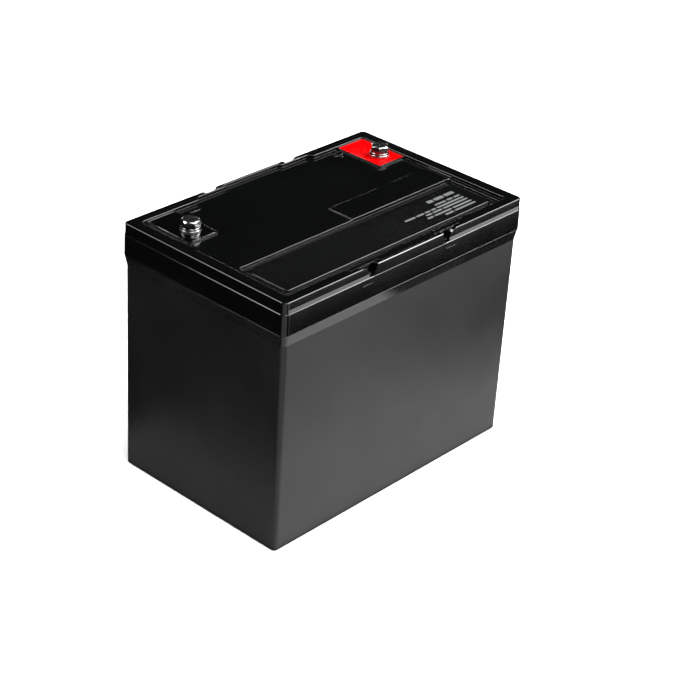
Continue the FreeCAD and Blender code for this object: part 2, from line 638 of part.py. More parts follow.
for sign, well_x, width in WELLS:
    x = well_x + dim.terminal_shift
    cup = new_sketch(lid, f"{sign}_cup_outline", x=well_x, y=well_middle, z=lid_inside)
    rectangle(cup, width + 2 * dim.well_wall, dim.well_length + 2 * dim.well_wall,
              dim.well_corner + dim.well_wall)
    pad(lid, f"{sign}_cup", cup, lid_inside - well_underside, down=True)
    curb = new_sketch(lid, f"{sign}_curb_outline", x=well_x, y=well_middle, z=panel)
    rectangle(curb, width + 2 * dim.curb_width, dim.well_length + 2 * dim.curb_width, dim.well_corner)
    pad(lid, f"{sign}_curb", curb, dim.curb_height)
    well = new_sketch(lid, f"{sign}_well_outline", x=well_x, y=well_middle, z=resin_top)
    rectangle(well, width, dim.well_length, dim.well_corner)
    pocket(lid, f"{sign}_well", well, dim.well_depth)
    ring_seat = new_sketch(lid, f"{sign}_ring_seat_outline", z=well_floor_top)
    ring_room = dim.post_diameter + 2 * dim.ring_section + 4 * dim.ring_gap
    circles(ring_seat, [(x, terminal_line)], ring_room)
    pocket(lid, f"{sign}_ring_seat", ring_seat, dim.ring_section + dim.ring_gap)
    post_hole = new_sketch(lid, f"{sign}_post_hole_outline", z=well_floor_top)
    circles(post_hole, [(x, terminal_line)], dim.post_diameter + 2 * dim.post_gap)
    pocket(lid, f"{sign}_post_hole", post_hole, dim.well_floor + 1)

# ---- vent cover: a flat plate over the valves, with a keeper over each one ---------------------
cover = new_body("vent_cover")
cover_outline = new_sketch(cover, "cover_outline", x=cover_x, y=cover_y, z=cover_seat)
rectangle(cover_outline, cover_length, dim.cover_width, dim.cover_corner)
pad(cover, "cover_plate", cover_outline, dim.cover_thickness)
round_edges(cover, "cover_fillet", dim.cover_round, lambda box: near(box.ZMin, cover_top))
keepers = new_sketch(cover, "keeper_outline", z=cover_seat)
circles(keepers, valve_places, dim.keeper_diameter)
pad(cover, "keepers", keepers, cover_seat - valve_top - dim.keeper_gap, down=True)
for index in range(CELLS - 1):
    slot = new_sketch(cover, f"vent_slot_outline_{index + 1}", x=cell_centre(index) + cell_pitch / 2,
                      y=cover_y, z=cover_seat)
    half = dim.vent_slot / 2
    reach = dim.cover_width / 2 + 1
    polygon(slot, [(-half, -reach), (half, -reach), (half, reach), (-half, reach)])
    pocket(cover, f"vent_slot_{index + 1}", slot, dim.vent_slot_depth, up=True)

# ---- six rubber relief valves, each a cap over a nozzle -----------------------------------------
for index, (x, y) in enumerate(valve_places, start=1):
    valve = new_body(f"relief_valve_{index}")
    place(valve, x, y, valve_top - dim.valve_height)
    cap = new_sketch(valve, f"valve_outline_{index}")
    circles(cap, [(0, 0)], dim.valve_diameter)
    pad(valve, f"valve_cap_{index}", cap, dim.valve_height)
    mouth = new_sketch(valve, f"valve_mouth_outline_{index}")
    circles(mouth, [(0, 0)], dim.nozzle_diameter + 2 * dim.valve_gap)
    pocket(valve, f"valve_mouth_{index}", mouth, dim.valve_height - dim.valve_crown, up=True)

# ---- terminals: resin, insert, o-ring, washers and bolt -----------------------------------------
for sign, well_x, width in WELLS:
    x = well_x + dim.terminal_shift
    resin = new_body(f"{sign}_terminal_resin")
    fill = new_sketch(resin, f"{sign}_resin_outline", x=well_x, y=well_middle, z=well_floor_top)
    rectangle(fill, width, dim.well_length, dim.well_corner)
    pad(resin, f"{sign}_resin_fill", fill, dim.well_depth)
    for part_name, diameter, height in (("flange", dim.insert_flange, dim.insert_flange_height),
                                        ("insert", dim.insert_diameter, dim.well_depth)):
        room = new_sketch(resin, f"{sign}_{part_name}_room_outline", z=well_floor_top)
        circles(room, [(x, terminal_line)], diameter)
        pocket(resin, f"{sign}_{part_name}_room", room, height, up=True)

    post = rod(f"{sign}_post", dim.post_diameter, well_floor_top - strap_top, x, terminal_line, strap_top)
    flange = rod(f"{sign}_flange", dim.insert_flange, dim.insert_flange_height, x, terminal_line,
                 well_floor_top)
    barrel = rod(f"{sign}_barrel", dim.insert_diameter, insert_top - well_floor_top, x, terminal_line,
                 well_floor_top)
    blank = DOC.addObject("Part::MultiFuse", f"{sign}_insert_blank")
    blank.Shapes = [post, flange, barrel]
    thread = rod(f"{sign}_thread", dim.bolt_diameter + 2 * dim.thread_gap, dim.thread_depth, x,
                 terminal_line, insert_top - dim.thread_depth)
    insert = DOC.addObject("Part::Cut", f"{sign}_terminal_insert")
    insert.Label = insert.Name
    insert.Base, insert.Tool = blank, thread
    NODES.append(insert)

    o_ring = DOC.addObject("Part::Torus", f"{sign}_o_ring")
    o_ring.Label = o_ring.Name
    bind(o_ring, Radius1=(dim.post_diameter + dim.ring_section) / 2 + dim.ring_gap,
         Radius2=dim.ring_section / 2)
    place(o_ring, x, terminal_line, well_floor_top - (dim.ring_section + dim.ring_gap) / 2)
    NODES.append(o_ring)

    inner = dim.bolt_diameter + 2 * dim.washer_gap
    for part_name, outer, height, base in (
            ("flat_washer", dim.washer_outer, dim.washer_height, insert_top),
            ("spring_washer", dim.spring_outer, dim.spring_height, washer_top)):
        washer = new_body(f"{sign}_{part_name}")
        place(washer, x, terminal_line, base)
        disc = new_sketch(washer, f"{sign}_{part_name}_outline")
        circles(disc, [(0, 0)], outer)
        pad(washer, f"{sign}_{part_name}_disc", disc, height)
        hole = new_sketch(washer, f"{sign}_{part_name}_hole_outline", z=height)
        circles(hole, [(0, 0)], inner)
        pocket(washer, f"{sign}_{part_name}_hole", hole, height)
        if part_name == "spring_washer":
            split = new_sketch(washer, f"{sign}_split_outline", z=height)
            half = dim.spring_split / 2
            polygon(split, [(1, -half), (outer, -half), (outer, half), (1, half)])
            pocket(washer, f"{sign}_split", split, height)

    corners = dim.head_flats / math.sqrt(3)
    head = DOC.addObject("Part::Prism", f"{sign}_hex")
    head.Polygon = 6
    head_turn = dim.positive_turn if sign == "positive" else dim.negative_turn
    head.setExpression(".Placement.Rotation.Angle", head_turn.text)
    bind(head, Circumradius=corners, Height=dim.head_height)
    place(head, x, terminal_line, spring_top)
    skirt_turned = rod(f"{sign}_head_side", 2 * corners, dim.head_height - dim.head_bevel, x,
                       terminal_line, spring_top)
    crown_turned = DOC.addObject("Part::Cone", f"{sign}_head_crown")
    bind(crown_turned, Radius1=corners, Radius2=dim.head_crown / 2, Height=dim.head_bevel)
    place(crown_turned, x, terminal_line, head_top - dim.head_bevel)
    turned = DOC.addObject("Part::Fuse", f"{sign}_head_turned")
    turned.Base, turned.Tool = skirt_turned, crown_turned
    bolt_head = DOC.addObject("Part::Common", f"{sign}_head")
    bolt_head.Base, bolt_head.Tool = head, turned
    shank_foot = spring_top - dim.bolt_length
    shank = rod(f"{sign}_shank", dim.bolt_diameter, dim.bolt_length - dim.bolt_point, x, terminal_line,
                shank_foot + dim.bolt_point)
    point = DOC.addObject("Part::Cone", f"{sign}_point")
    bind(point, Radius1=dim.bolt_diameter / 2 - dim.bolt_point, Radius2=dim.bolt_diameter / 2,
         Height=dim.bolt_point)
    place(point, x, terminal_line, shank_foot)
    node_of(f"{sign}_bolt", [bolt_head, shank, point])

# ---- the plate stack of each cell -----------------------------------------------------------------
for index in range(CELLS):
    centre = cell_centre(index)
    for sign, plates, thickness, side in (
            ("positive", POSITIVE_PLATES, positive_plate, front_side(index)),
            ("negative", NEGATIVE_PLATES, dim.negative_plate, front_side(index - 1))):
        pieces = []
        for number in range(plates):
            x = centre + pair_pitch * (number - (plates - 1) / 2)
            tag = f"{sign}_{index + 1}_{number + 1}"
            pieces.append(block(f"plate_{tag}", thickness, plate_width, plate_height, x, 0, plate_bottom))
            pieces.append(block(f"lug_{tag}", thickness, dim.lug_width, dim.lug_height, x,
                                terminal_line * side, plate_top))
        node_of(f"cell_{index + 1}_{sign}_plates", pieces)

    mats = []
    mat_width = cavity_width - 2 * dim.mat_margin
    mat_bottom = plate_bottom - dim.stack_gap
    for number in range(POSITIVE_PLATES):
        x = centre + pair_pitch * (number - (POSITIVE_PLATES - 1) / 2)
        tag = f"{index + 1}_{number + 1}"
        offset = positive_plate / 2 + dim.stack_gap + dim.mat / 2
        for side in (-1, 1):
            mats.append(block(f"mat_{tag}_{'left' if side < 0 else 'right'}", dim.mat, mat_width,
                              plate_height, x + offset * side, 0, mat_bottom))
        mats.append(block(f"mat_{tag}_fold", 2 * offset + dim.mat, mat_width, dim.mat_fold, x, 0,
                          mat_bottom - dim.mat_fold))
    node_of(f"cell_{index + 1}_separators", mats)

# ---- lead links: straps over the lugs, joined through the partitions -------------------------------
for wall in range(CELLS - 1):
    y = terminal_line * front_side(wall)
    straps = [block(f"strap_{wall + 1}_{side}", strap_length, dim.strap_width, dim.strap_height,
                    cell_centre(wall + side), y, strap_bottom) for side in (0, 1)]
    weld = DOC.addObject("Part::Cylinder", f"weld_{wall + 1}")
    weld.Placement.Rotation = FreeCAD.Rotation(FreeCAD.Vector(0, 1, 0), 90)
    bind(weld, Radius=dim.weld_diameter / 2, Height=cell_pitch - strap_length)
    place(weld, cell_centre(wall) + strap_length / 2, y, strap_middle)
    node_of(f"intercell_link_{wall + 1}", straps + [weld])

for sign, index in (("positive", CELLS - 1), ("negative", 0)):
    strap = block(f"{sign}_end_strap", strap_length, dim.strap_width, dim.strap_height,
                  cell_centre(index), terminal_line, strap_bottom)
    strap.Label = strap.Name
    NODES.append(strap)

# ---- check and write -------------------------------------------------------------------------------
DOC.recompute()
for item in DOC.Objects:
    if "Invalid" in item.State or "Error" in item.State:
        raise ValueError(f"{item.Label} failed: {item.State}")
for node in NODES:
    if node.Shape.isNull() or not node.Shape.isValid():
        raise ValueError(f"{node.Label} has no valid shape")
os.makedirs("parts", exist_ok=True)
for node in NODES:
    node.Shape.exportStep(f"parts/{node.Label}.step")
print(len(NODES), "nodes written")
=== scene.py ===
"""A sealed deep cycle battery: its finishes, fasteners and print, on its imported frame."""

import bpy
import numpy as np
from mathutils import Matrix, Vector


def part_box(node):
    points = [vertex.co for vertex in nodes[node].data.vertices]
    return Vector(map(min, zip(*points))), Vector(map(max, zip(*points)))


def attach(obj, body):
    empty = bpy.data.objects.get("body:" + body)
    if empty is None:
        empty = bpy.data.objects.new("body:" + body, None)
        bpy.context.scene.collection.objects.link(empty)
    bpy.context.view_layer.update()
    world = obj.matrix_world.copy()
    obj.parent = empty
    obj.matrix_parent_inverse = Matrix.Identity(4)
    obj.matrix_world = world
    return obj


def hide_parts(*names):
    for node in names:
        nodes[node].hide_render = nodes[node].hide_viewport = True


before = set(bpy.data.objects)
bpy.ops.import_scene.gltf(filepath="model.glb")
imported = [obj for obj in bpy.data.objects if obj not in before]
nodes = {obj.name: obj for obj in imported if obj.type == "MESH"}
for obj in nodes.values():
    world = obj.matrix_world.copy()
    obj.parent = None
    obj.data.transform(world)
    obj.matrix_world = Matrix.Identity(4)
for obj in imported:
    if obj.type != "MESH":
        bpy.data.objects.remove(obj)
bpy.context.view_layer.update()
MM = 0.001

# ---- camera --------------------------------------------------------------------------------------
# A long lens looks down on the near left corner from about thirty degrees above the floor, with
# the camera rolled a little to one side.
camera_data = bpy.data.cameras.new("camera")
camera_data.sensor_width = 36.0
camera_data.lens = 98.02
camera = bpy.data.objects.new("camera", camera_data)
bpy.context.collection.objects.link(camera)
camera_forward = Vector((0.65312, 0.56937, -0.49925)).normalized()
camera_right = Vector((0.68003, -0.73105, 0.05591)).normalized()
camera_up = camera_right.cross(camera_forward)
camera_turn = Matrix((camera_right, camera_up, -camera_forward)).transposed()
camera.matrix_world = Matrix.Translation((-0.95793, -0.86616, 0.83284)) @ camera_turn.to_4x4()
bpy.context.scene.camera = camera

# ---- studio floor --------------------------------------------------------------------------------
# A wide white paper floor, which a gloss can't see. Paper cards laid round the battery show in the
# gloss in its place, and nowhere else: a white one far out in front, and grey and darker ones near.
def paper(name, shade):
    """Matt paper of one shade."""
    material = bpy.data.materials.new(name)
    material.use_nodes = True
    shader = material.node_tree.nodes["Principled BSDF"]
    shader.inputs["Base Color"].default_value = (shade, shade, shade, 1)
    shader.inputs["Roughness"].default_value = 0.95
    shader.inputs["Specular IOR Level"].default_value = 0.1
    return material


def paper_sheet(name, corners, height, material):
    """A flat sheet of paper through four corners, at a height above the floor."""
    mesh = bpy.data.meshes.new(name)
    mesh.from_pydata([(x, y, height) for x, y in corners], [], [(0, 1, 2, 3)])
    mesh.materials.append(material)
    sheet = bpy.data.objects.new(name, mesh)
    bpy.context.collection.objects.link(sheet)
    return sheet


white = paper("white_paper", 0.88)
grey = paper("grey_paper_card", 0.46)
dark = paper("dark_paper_card", 0.24)
floor = paper_sheet("floor", [(-20, -20), (20, -20), (20, 20), (-20, 20)], 0.0, white)
floor.visible_glossy = False

case_low, case_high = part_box("case")
left, front = case_low[0], case_low[1]
right, back = case_high[0], case_high[1]
card_height = 0.1 * MM
card_reach = 1.5
flange_corners = [(left, front - 0.158), (right + 0.01, front - 0.145),
                  (right + 0.05, front - 0.075), (left, front - 0.075)]
cards = [paper_sheet("flange_card", flange_corners, card_height, grey)]
for name, low, high, shade in (
        ("front_card", (left, front - 0.075), (right + 0.14, front), grey),
        ("far_card", (left + 0.20, front - 0.70), (right + 0.90, front - 0.277), white),
        ("left_card", (left - 0.07, front), (left, back + 0.03), dark),
        ("corner_card", (left - card_reach, front - card_reach), (left, front), dark),
        ("right_card", (right, front), (right + card_reach, back), grey),
        ("back_card", (left, back + 0.03), (right + card_reach, back + card_reach), grey)):
    corners = [low, (high[0], low[1]), high, (low[0], high[1])]
    cards.append(paper_sheet(name, corners, card_height, shade))
for card in cards:
    card.visible_camera = False
    card.visible_diffuse = False
    card.visible_shadow = False

# ---- studio lights -------------------------------------------------------------------------------
# A large softbox hangs high on the right, with smaller ones behind on the left and in front, and a
# low strip of light behind. A broad bounce from the ceiling fills the floor.
world = bpy.data.worlds.new("room")
world.use_nodes = True
world.node_tree.nodes["Background"].inputs["Color"].default_value = (0.92, 1.0, 0.97, 1)
world.node_tree.nodes["Background"].inputs["Strength"].default_value = 0.018
bpy.context.scene.world = world
bpy.context.scene.view_settings.view_transform = "Standard"


def softbox(name, place, aim, width, height, power):
    """A rectangular soft light at a place, facing the aim point."""
    data = bpy.data.lights.new(name, "AREA")
    data.shape = "RECTANGLE"
    data.size, data.size_y, data.energy = width, height, power
    light = bpy.data.objects.new(name, data)
    light.location = place
    light.rotation_euler = (Vector(aim) - Vector(place)).to_track_quat("-Z", "Y").to_euler()
    light.visible_camera = False
    bpy.context.collection.objects.link(light)


softbox("right_softbox", (1.76, -0.68, 2.10), (0, 0, 0.2), 1.5, 1.5, 150)
softbox("left_softbox", (-0.80, 1.42, 2.10), (0, 0, 0.2), 1.2, 1.1, 60)
softbox("front_softbox", (-0.60, -1.9, 1.9), (0, 0, 0.2), 1.0, 0.8, 26)
softbox("rear_strip", (1.45, 1.6, 0.34), (0, 0, 0.2), 1.4, 0.3, 9)
bounce_data = bpy.data.lights.new("ceiling_bounce", "SUN")
bounce_data.energy = 4.2
bounce_data.angle = 1.2
bounce = bpy.data.objects.new("ceiling_bounce", bounce_data)
bounce.rotation_euler = Vector((-0.25, 0.55, -1.0)).to_track_quat("-Z", "Y").to_euler()
bpy.context.collection.objects.link(bounce)


# ---- lid -----------------------------------------------------------------------------------------
# The lid is injection moulded in black ABS in a polished mould, then glued to the case. Its gloss
# has a faint orange peel, hairline scratches from handling, and edges rubbed slightly duller. Its
# colour is painted lighter along every edge, a painted edge highlight.
def add(tree, kind, inputs=None, **settings):
    """Add a shader node, with each input a plain value or another node's output."""
    item = tree.nodes.new("ShaderNode" + kind)
    for name, value in settings.items():
        setattr(item, name, value)
    for name, value in (inputs or {}).items():
        if isinstance(value, bpy.types.NodeSocket):
            tree.links.new(value, item.inputs[name])
        else:
            item.inputs[name].default_value = value
    return item


def start_material(name, metallic=0.0, specular=0.5):
    """A new material: its node tree, its shader, and the object's own coordinates in metres."""
    material = bpy.data.materials.new(name)
    material.use_nodes = True
    tree = material.node_tree
    shader = tree.nodes["Principled BSDF"]
    shader.inputs["Metallic"].default_value = metallic
    shader.inputs["Specular IOR Level"].default_value = specular
    return material, tree, shader, add(tree, "TexCoord").outputs["Object"]


def noise(tree, place, size, low, high, detail=3.0):
    """Soft noise with blotches of a size in metres, spread between a low and a high value."""
    cloud = add(tree, "TexNoise", {"Vector": place, "Scale": 1 / size, "Detail": detail})
    spread = {"Value": cloud.outputs["Fac"], "From Min": 0.3, "From Max": 0.7,
              "To Min": low, "To Max": high}
    return add(tree, "MapRange", spread).outputs["Result"]


def blend(tree, share, first, second):
    """A colour between two, by a share from 0 to 1."""
    mix = add(tree, "Mix", data_type="RGBA")
    for socket, value in zip((mix.inputs[0], mix.inputs[6], mix.inputs[7]), (share, first, second)):
        if isinstance(value, bpy.types.NodeSocket):
            tree.links.new(value, socket)
        else:
            socket.default_value = value
    return mix.outputs[2]


def total(tree, *values):
    """The sum of several outputs."""
    result = values[0]
    for value in values[1:]:
        result = add(tree, "Math", {0: result, 1: value}, operation="ADD").outputs[0]
    return result


def edge_normal(tree, radius):
    """The surface's direction with every edge rounded to a radius, and 0 to 1 where it is an edge."""
    rounded = add(tree, "Bevel", {"Radius": radius}, samples=12).outputs["Normal"]
    flat = add(tree, "NewGeometry").outputs["Normal"]
    same = add(tree, "VectorMath", {0: rounded, 1: flat}, operation="DOT_PRODUCT").outputs["Value"]
    spread = {"Value": same, "From Min": 0.985, "From Max": 0.80, "To Min": 0.0, "To Max": 1.0}
    return rounded, add(tree, "MapRange", spread).outputs["Result"]


def scaled(tree, place, scale, turn=(0, 0, 0)):
    """Coordinates stretched and turned, for a pattern with a direction."""
    return add(tree, "Mapping", {"Vector": place, "Scale": scale, "Rotation": turn}).outputs["Vector"]


def dress(name, material):
    """Give a CAD node this material in all its slots."""
    mesh = nodes[name].data
    if not mesh.materials:
        mesh.materials.append(material)
    for index in range(len(mesh.materials)):
        mesh.materials[index] = material


def slab(tree, place, axis, low, high):
    """1 between two places along an axis, and 0 outside them."""
    along = add(tree, "SeparateXYZ", {"Vector": place}).outputs[axis]
    inside = {0: along, 1: (low + high) / 2, 2: (high - low) / 2}
    return add(tree, "Math", inside, operation="COMPARE").outputs[0]


def moulded_plastic(name, color, gloss, grain, grain_depth, scratch, edge, zone=(), zone_gloss=0.0):
    """Black moulded plastic: drifting tone, an even grain, long hairline scratches, rubbed edges.

    Roughness is gloss plus noise plus scratches plus edge rub; bump is noise of the grain's size.
    The colour turns lighter along every edge, a painted edge highlight.
    Inside the zone, slabs given as (axis, low, high), the roughness changes by the zone's gloss.
    """
    material, tree, shader, place = start_material(name)
    rounded, rub_and_highlight = edge_normal(tree, edge)
    tone = noise(tree, place, 45 * MM, 0.0, 1.0)
    darker = (*[0.75 * part for part in color], 1)
    lighter = (*[1.25 * part for part in color], 1)
    body = blend(tree, tone, darker, lighter)
    # painted edge highlight: the colour is lighter wherever the bevel mask finds an edge
    painted_edge_highlight = (*[2 * part + 0.002 for part in color], 1)
    tree.links.new(blend(tree, rub_and_highlight, body, painted_edge_highlight), shader.inputs["Base Color"])
    hairs = noise(tree, scaled(tree, place, (1, 26, 26), (0, 0, 0.35)), 12 * MM, 0.0, 1.0, 8.0)
    spread = {"Value": hairs, "From Min": 0.86, "From Max": 1.0, "To Min": 0.0, "To Max": scratch}
    scratches = add(tree, "MapRange", spread).outputs["Result"]
    wipe = noise(tree, place, 30 * MM, 0.92 * gloss, 1.08 * gloss, 5.0)
    rub_rough = add(tree, "Math", {0: rub_and_highlight, 1: 0.05}, operation="MULTIPLY").outputs[0]
    finish = total(tree, wipe, scratches, rub_rough)
    if zone:
        share = zone_gloss
        for axis, low, high in zone:
            share = add(tree, "Math", {0: slab(tree, place, axis, low, high), 1: share},
                        operation="MULTIPLY").outputs[0]
        finish = total(tree, finish, share)
    tree.links.new(finish, shader.inputs["Roughness"])
    texture = noise(tree, place, grain, 0.0, 1.0, 2.0)
    bump = add(tree, "Bump", {"Height": texture, "Distance": grain_depth, "Strength": 1.0,
                              "Normal": rounded})
    tree.links.new(bump.outputs["Normal"], shader.inputs["Normal"])
    return material


cover_low, cover_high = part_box("vent_cover")
strip_floor_low, strip_floor_high = 203.8 * MM, 204.5 * MM
strip = (("Y", cover_low[1] - 8 * MM, cover_high[1] + 9 * MM), ("Z", strip_floor_low, strip_floor_high))
dress("lid", moulded_plastic("lid_plastic", (0.0006, 0.0008, 0.0007), 0.10, 2.6 * MM, 0.0008 * MM,
                             0.05, 0.22 * MM, strip, 0.04))

# ---- case ----------------------------------------------------------------------------------------
# The case is one deep ABS moulding with a fine satin texture on its sides. The texture stops at the
# flange under the lid, which is as smooth as the lid's own skirt.
flange_low, flange_high = 174 * MM, 184 * MM
flange = (("Z", flange_low, flange_high),)
dress("case", moulded_plastic("case_plastic", (0.0045, 0.0048, 0.0047), 0.40, 0.5 * MM, 0.006 * MM,
                              0.06, 0.45 * MM, flange, -0.28))

# ---- vent cover ----------------------------------------------------------------------------------
# A flat satin ABS plate, ultrasonically welded into its seat over the valves. It carries a printed
# notice, kept here as plain bars of thin grey ink in place of words.
dress("vent_cover", moulded_plastic("cover_plastic", (0.0011, 0.0013, 0.0012), 0.18, 0.4 * MM,
                                    0.0006 * MM, 0.03, 0.30 * MM))


def skin(name, rings, wrap=False, sharp=0.6):
    """A closed skin over an array of rings (rings, points on a ring, 3).

    Quads join each ring to the next. The last ring joins the first where wrap is True, and flat
    faces close both ends where it isn't.
    """
    count, size = rings.shape[:2]
    index = np.arange(count * size).reshape(count, size)
    here = index if wrap else index[:-1]
    there = np.roll(index, -1, axis=0) if wrap else index[1:]
    quads = np.stack([here, np.roll(here, -1, axis=1), np.roll(there, -1, axis=1), there], axis=-1)
    faces = quads.reshape(-1, 4).tolist()
    if not wrap:
        faces += [index[0][::-1].tolist(), index[-1].tolist()]
    mesh = bpy.data.meshes.new(name)
    mesh.from_pydata(rings.reshape(-1, 3).tolist(), [], faces)
    mesh.shade_smooth()
    mesh.set_sharp_from_angle(angle=sharp)
    piece = bpy.data.objects.new(name, mesh)
    bpy.context.collection.objects.link(piece)
    return piece


def print_bar(x_start, length, y_middle, height, base, thickness):
    """Rings of one bar of ink: a rounded oblong, |x|^8 + |y|^8 = 1 stretched to its size.

    The rings climb from the base, and the last one is a little smaller, as ink's edge is.
    """
    turn = np.linspace(0, 2 * np.pi, 32, endpoint=False)
    across = np.sign(np.cos(turn)) * np.abs(np.cos(turn)) ** 0.25
    along = np.sign(np.sin(turn)) * np.abs(np.sin(turn)) ** 0.25
    levels = np.array([[0.0, 1.0], [0.6, 1.0], [1.0, 0.96]])
    x = x_start - length / 2 + levels[:, 1:] * across * length / 2
    y = y_middle + levels[:, 1:] * along * height / 2
    z = base + np.repeat(levels[:, :1], 32, axis=1) * thickness
    return np.stack([x, y, z], axis=-1)


ink, tree, shader, place = start_material("grey_ink", specular=0.3)
wear = noise(tree, place, 0.25 * MM, 0.0, 1.0, 4.0)
ink_tone = blend(tree, wear, (0.055, 0.057, 0.056, 1), (0.10, 0.104, 0.102, 1))
tree.links.new(ink_tone, shader.inputs["Base Color"])
tree.links.new(noise(tree, place, 0.6 * MM, 0.40, 0.60), shader.inputs["Roughness"])
ink_bump = add(tree, "Bump", {"Height": wear, "Distance": 0.004 * MM})
tree.links.new(ink_bump.outputs["Normal"], shader.inputs["Normal"])

line_start = cover_high[0] - 10 * MM
word_gap = 1.5 * MM
PRINT_LINES = [  # distance from the cover's front edge, height of the line, lengths of its words
    (6.8, 2.2, (24.0, 9.5)),
    (10.8, 2.2, (22.0, 19.5, 6.5)),
    (15.0, 2.2, (28.5, 10.0, 6.5)),
    (18.7, 2.2, (31.5, 5.0, 5.5, 8.5, 11.5)),
    (22.7, 2.2, (7.0, 6.5, 12.5)),
    (29.3, 3.8, (10.5, 10.5, 6.5)),
]
for line, (distance, height, words) in enumerate(PRINT_LINES, start=1):
    word_start = line_start
    for word, length in enumerate(words, start=1):
        rings = print_bar(word_start, length * MM, cover_low[1] + distance * MM, height * MM,
                          cover_high[2] - 0.01 * MM, 0.03 * MM)
        bar = skin(f"print_line_{line}_word_{word}", rings)
        bar.data.materials.append(ink)
        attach(bar, "root")
        word_start -= length * MM + word_gap

# ---- lid adhesive --------------------------------------------------------------------------------
# A thin bead of dark two-part epoxy, squeezed flat between the case's neck and the lid.
glue, tree, shader, place = start_material("epoxy_bead")
tone = noise(tree, place, 2 * MM, 0.0, 1.0)
glue_tone = blend(tree, tone, (0.045, 0.045, 0.040, 1), (0.080, 0.080, 0.070, 1))
tree.links.new(glue_tone, shader.inputs["Base Color"])
tree.links.new(noise(tree, place, 1 * MM, 0.35, 0.55), shader.inputs["Roughness"])
glue_bump = add(tree, "Bump", {"Height": noise(tree, place, 0.8 * MM, 0.0, 1.0), "Distance": 0.02 * MM})
tree.links.new(glue_bump.outputs["Normal"], shader.inputs["Normal"])
dress("lid_adhesive", glue)


# ---- relief valves and o-rings -------------------------------------------------------------------
# The valves are moulded EPDM caps that sit over the nozzles, dusted with talc. The o-rings under
# the terminals are plain black nitrile rubber.
def rubber(name, talc):
    """Matt black rubber: fine pores in the bump, and a share of pale talc in patches."""
    material, tree, shader, place = start_material(name, specular=0.35)
    dust = noise(tree, place, 1.5 * MM, 0.0, talc, 6.0)
    dusty = blend(tree, dust, (0.018, 0.018, 0.018, 1), (0.16, 0.16, 0.155, 1))
    tree.links.new(dusty, shader.inputs["Base Color"])
    tree.links.new(noise(tree, place, 0.8 * MM, 0.62, 0.85), shader.inputs["Roughness"])
    pores = add(tree, "Bump", {"Height": noise(tree, place, 0.12 * MM, 0.0, 1.0), "Distance": 0.01 * MM})
    tree.links.new(pores.outputs["Normal"], shader.inputs["Normal"])
    return material


valve_rubber = rubber("valve_rubber", 0.6)
for number in range(1, 7):
    dress(f"relief_valve_{number}", valve_rubber)
seal_rubber = rubber("seal_rubber", 0.15)
for sign in ("positive", "negative"):
    dress(f"{sign}_o_ring", seal_rubber)


# ---- terminal resin ------------------------------------------------------------------------------
# Coloured epoxy is poured round each terminal into its well: red at the positive terminal, black at
# the negative one. It wets the walls and the insert, so its top dips between them.
def cast_resin(name, dark, light, gloss, specular):
    """Cast epoxy: slow clouds between two tones, and a few tiny pits from trapped air."""
    material, tree, shader, place = start_material(name, specular=specular)
    cloud = noise(tree, place, 9 * MM, 0.0, 1.0, 4.0)
    tree.links.new(blend(tree, cloud, (*dark, 1), (*light, 1)), shader.inputs["Base Color"])
    tree.links.new(noise(tree, place, 5 * MM, 0.8 * gloss, 1.2 * gloss), shader.inputs["Roughness"])
    cells = add(tree, "TexVoronoi", {"Vector": place, "Scale": 1 / (3.2 * MM)}).outputs["Distance"]
    spread = {"Value": cells, "From Min": 0.03, "From Max": 0.09, "To Min": 0.0, "To Max": 1.0}
    pits = add(tree, "MapRange", spread).outputs["Result"]
    waves = noise(tree, place, 6 * MM, 0.0, 1.0)
    relief = add(tree, "Bump", {"Height": waves, "Distance": 0.01 * MM})
    dimple = add(tree, "Bump", {"Height": pits, "Distance": 0.015 * MM,
                                "Normal": relief.outputs["Normal"]})
    tree.links.new(dimple.outputs["Normal"], shader.inputs["Normal"])
    return material


def resin_rings(low, high, axis, radius, flange_radius, flange_height, corner, dip):
    """Rings of one casting round its insert, each ring a closed outline at one angle.

    The outer wall is a rounded oblong, found along each angle by halving steps. Across the top the
    height is high - dip * (1 - e^(-d / 1 mm)), where d is the distance to the nearer wall.
    """
    turn = np.linspace(0, 2 * np.pi, 240, endpoint=False)
    heading = np.stack([np.cos(turn), np.sin(turn)], axis=-1)
    middle, half = (low[:2] + high[:2]) / 2, (high[:2] - low[:2]) / 2
    near_end, far_end = np.zeros(len(turn)), np.full(len(turn), np.hypot(*(high[:2] - low[:2])))
    for _ in range(40):
        reach = (near_end + far_end) / 2
        offset = np.abs(axis + heading * reach[:, None] - middle) - half + corner
        beyond = np.linalg.norm(np.maximum(offset, 0), axis=1) + np.minimum(offset.max(axis=1), 0)
        outside = beyond > corner
        far_end, near_end = np.where(outside, reach, far_end), np.where(outside, near_end, reach)
    share = (1 - np.cos(np.linspace(0, np.pi, 25))) / 2
    across = radius + (reach[:, None] - radius) * share
    wall = np.minimum(across - radius, reach[:, None] - across)
    top = high[2] - dip * (1 - np.exp(-wall / MM))
    ones = np.ones((len(turn), 1))
    step = low[2] + flange_height
    radii = np.concatenate([flange_radius * ones, flange_radius * ones, radius * ones, across,
                            reach[:, None]], axis=1)
    heights = np.concatenate([low[2] * ones, step * ones, step * ones, top, low[2] * ones], axis=1)
    flat = axis + heading[:, None, :] * radii[:, :, None]
    return np.concatenate([flat, heights[:, :, None]], axis=-1)


